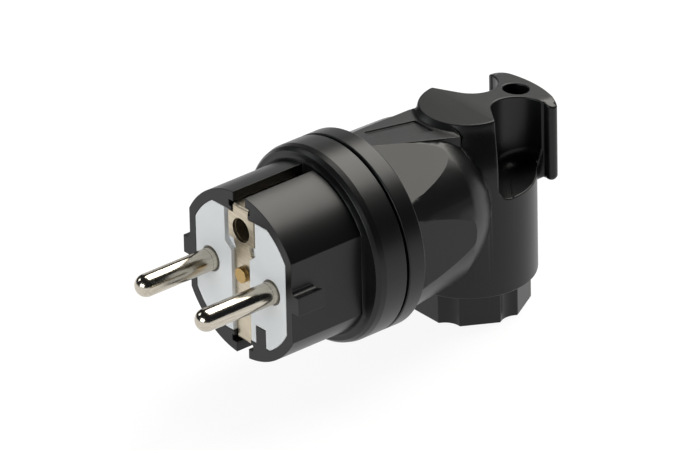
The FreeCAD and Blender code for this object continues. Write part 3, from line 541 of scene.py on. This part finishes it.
def turned_pin(name):
    """A smooth pin in the place of a pin of the construction."""
    low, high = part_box(name)
    axis_x = (low[0] + high[0]) / 2
    form = bmesh.new()
    chain = [form.verts.new((axis_x + r * MM, y * MM, 0.0)) for y, r in PIN_OUTLINE]
    for first, second in zip(chain, chain[1:]):
        form.edges.new((first, second))
    bmesh.ops.bevel(form, geom=[chain[1]], affect="VERTICES", offset=BALL_SHARE * PIN_R * MM,
                    segments=BALL_STEPS, profile=0.5, material=-1)
    bmesh.ops.spin(form, geom=form.verts[:] + form.edges[:], cent=(axis_x, 0, 0), axis=(0, 1, 0),
                   angle=math.tau, steps=TURNED_STEPS, use_merge=True)
    bmesh.ops.remove_doubles(form, verts=form.verts[:], dist=AXIS_POINT)
    bmesh.ops.recalc_face_normals(form, faces=form.faces[:])
    for face in form.faces:
        face.smooth = True
    for edge in form.edges:
        edge.smooth = edge.calc_face_angle(0.0) < STEEP
    mesh = bpy.data.meshes.new(name + "_turned")
    form.to_mesh(mesh)
    form.free()
    mesh.materials.append(FINISHES[slot_of[name]])
    placed(name + "_turned", mesh, name)
    print(f"{name}: {len(mesh.polygons)} faces, axis at x = {axis_x / MM:.2f} mm")


for name in ("pin_left", "pin_right"):
    turned_pin(name)

# %% [markdown]
# ## White paper
# The photograph is a product shot on pure white. More light would burn out the plug, so the
# paper under it is made white instead: it glows for the camera, in reflections and through
# clear things, but lights nothing else. It keeps part of its own shading, so that a faint
# shadow stays under the plug.

# %% Paper for the floor
GLOW_SHARE, GLOW_STRENGTH = 0.85, 1.08


def white_paper():
    """Paper that looks white to the camera and in reflections, and keeps a faint shadow."""
    paper = Finish("white_paper", Base_Color=(0.85, 0.85, 0.85), Roughness=0.9)
    camera_ray, glossy_ray, clear_ray = (
        paper.node("ShaderNodeLightPath", output=f"Is {ray} Ray")
        for ray in ("Camera", "Glossy", "Transmission"))
    seen = (camera_ray + glossy_ray + clear_ray).clamped()
    glow = paper.node("ShaderNodeEmission", inputs={
        "Color": (1.0, 1.0, 1.0), "Strength": GLOW_STRENGTH})
    mixed = paper.node("ShaderNodeMixShader", inputs={0: seen * GLOW_SHARE, 2: glow})
    paper.tree.links.new(paper.shader.outputs[0], mixed.socket.node.inputs[1])
    paper.tree.links.new(mixed.socket, paper.output.inputs["Surface"])
    print(f"{paper.material.name}: glows by {GLOW_SHARE} at strength {GLOW_STRENGTH}")
    return paper.material


paper_finish = white_paper()

# %% [markdown]
# ## The floor
# The floor is one large square, wide enough to fill every view. It lies just below the lowest
# point of the solids, so that no face of the plug touches it.

# %% White floor
FLOOR_HALF_SIDE, FLOOR_GAP_MM = 5.0, 0.05

floor_z = cad_box[0][2] - FLOOR_GAP_MM * MM
floor_mesh = bpy.data.meshes.new("floor")
form = bmesh.new()
bmesh.ops.create_grid(form, x_segments=1, y_segments=1, size=FLOOR_HALF_SIDE)
bmesh.ops.translate(form, verts=form.verts[:], vec=(0, 0, floor_z))
form.to_mesh(floor_mesh)
form.free()
floor_mesh.materials.append(paper_finish)
floor = bpy.data.objects.new("floor", floor_mesh)
bpy.context.scene.collection.objects.link(floor)
print("floor at z =", round(floor_z / MM, 2), "mm")

# %% [markdown]
# ## Softboxes
# One large warm light hangs high behind the plug, a weaker one stands on the left, a cool
# fill comes from the front and a small one from the front left corner. The two fills are also
# the bright spots on the ball ends of the pins. A softbox is an area light. Its brightness in
# a reflection doesn't depend on its distance, so each one is given the radiance that its
# reflection should have, and the power follows from its area.

# %% Hang the softboxes
AIM = Vector((0.0, 0.03, 0.0))
WARM, WHITE, COOL = (1.0, 0.98, 0.92), (1.0, 1.0, 1.0), (0.97, 0.99, 1.0)
SOFTBOXES = (
    # name, way to the lamp, distance, width, height, radiance, tint
    ("top_softbox", (-0.13, 0.6, 0.79), 0.9, 0.74, 0.85, 6.0, WARM),
    ("left_softbox", (-0.74, 0.62, 0.27), 1.2, 0.7, 0.35, 0.8, WHITE),
    ("front_fill", (0.15, -0.94, 0.31), 1.2, 0.8, 0.55, 4.6, COOL),
    ("corner_fill", (-0.72, -0.42, 0.55), 1.2, 0.35, 0.35, 3.0, COOL),
)


def softbox(name, direction, distance, width, height, radiance, tint):
    """An area light that faces the plug."""
    lamp = bpy.data.lights.new(name, "AREA")
    lamp.color = tint
    lamp.shape = "RECTANGLE"
    lamp.size, lamp.size_y = width, height
    lamp.energy = radiance * math.pi * width * height
    holder = bpy.data.objects.new(name, lamp)
    way = Vector(direction).normalized()
    holder.location = AIM + way * distance
    holder.rotation_euler = way.to_track_quat("Z", "Y").to_euler()
    bpy.context.scene.collection.objects.link(holder)
    print(f"{name}: {lamp.energy:.1f} W")


for row in SOFTBOXES:
    softbox(*row)

# %% [markdown]
# ## The dim studio
# Near the horizon the studio is almost dark, which draws the black bands on the pins and on
# the barrel. A world that is black would lose the last trace of shape there, so it is a dim
# blue. The Standard view transform shows colours as they are written.

# %% The room round the plug
STUDIO_BLUE, STUDIO_STRENGTH = (0.75, 0.87, 1.0, 1.0), 0.02

world = bpy.data.worlds.new("studio")
world.use_nodes = True
room = world.node_tree.nodes["Background"]
room.inputs["Color"].default_value = STUDIO_BLUE
room.inputs["Strength"].default_value = STUDIO_STRENGTH
bpy.context.scene.world = world
bpy.context.scene.view_settings.view_transform = "Standard"
print("studio strength:", STUDIO_STRENGTH)

# %% [markdown]
# ## The camera
# The photograph was taken with a long lens from the front right, looking down. The angles
# below were fitted to the pins, the round face and the collar. The picture is 700 pixels
# wide, so the focal length in pixels gives the lens on a 36 mm sensor. The camera's axes are
# built from the two angles, then turned by the small roll.

# %% Camera
AZIMUTH, ELEVATION, ROLL = (math.radians(a) for a in (50.628, 28.591, -1.237))
TARGET = Vector((1.432, 27.320, 2.094)) * MM
DISTANCE = 1936.493 * MM
FOCAL_PIXELS, PICTURE_WIDTH, SENSOR_MM = 9628.135, 700, 36.0
NEAREST, FARTHEST = 0.01, 50.0


def aimed_camera():
    """The camera of the photograph, with its axes as the columns of its rotation."""
    back = Vector((math.sin(AZIMUTH) * math.cos(ELEVATION),
                   -math.cos(AZIMUTH) * math.cos(ELEVATION),
                   math.sin(ELEVATION)))
    right = Vector((math.cos(AZIMUTH), math.sin(AZIMUTH), 0.0))
    up = back.cross(right)
    turned_right = right * math.cos(ROLL) + up * math.sin(ROLL)
    turned_up = up * math.cos(ROLL) - right * math.sin(ROLL)
    lens = bpy.data.cameras.new("camera")
    lens.sensor_fit = "HORIZONTAL"
    lens.sensor_width = SENSOR_MM
    lens.lens = FOCAL_PIXELS / PICTURE_WIDTH * SENSOR_MM
    lens.clip_start, lens.clip_end = NEAREST, FARTHEST
    camera = bpy.data.objects.new("camera", lens)
    turn = Matrix((turned_right, turned_up, back)).transposed()
    camera.matrix_world = Matrix.Translation(TARGET + back * DISTANCE) @ turn.to_4x4()
    bpy.context.scene.collection.objects.link(camera)
    return camera


bpy.context.scene.camera = aimed_camera()
print("lens:", round(bpy.context.scene.camera.data.lens, 2), "mm")

# %% Finish
bpy.context.view_layer.update()
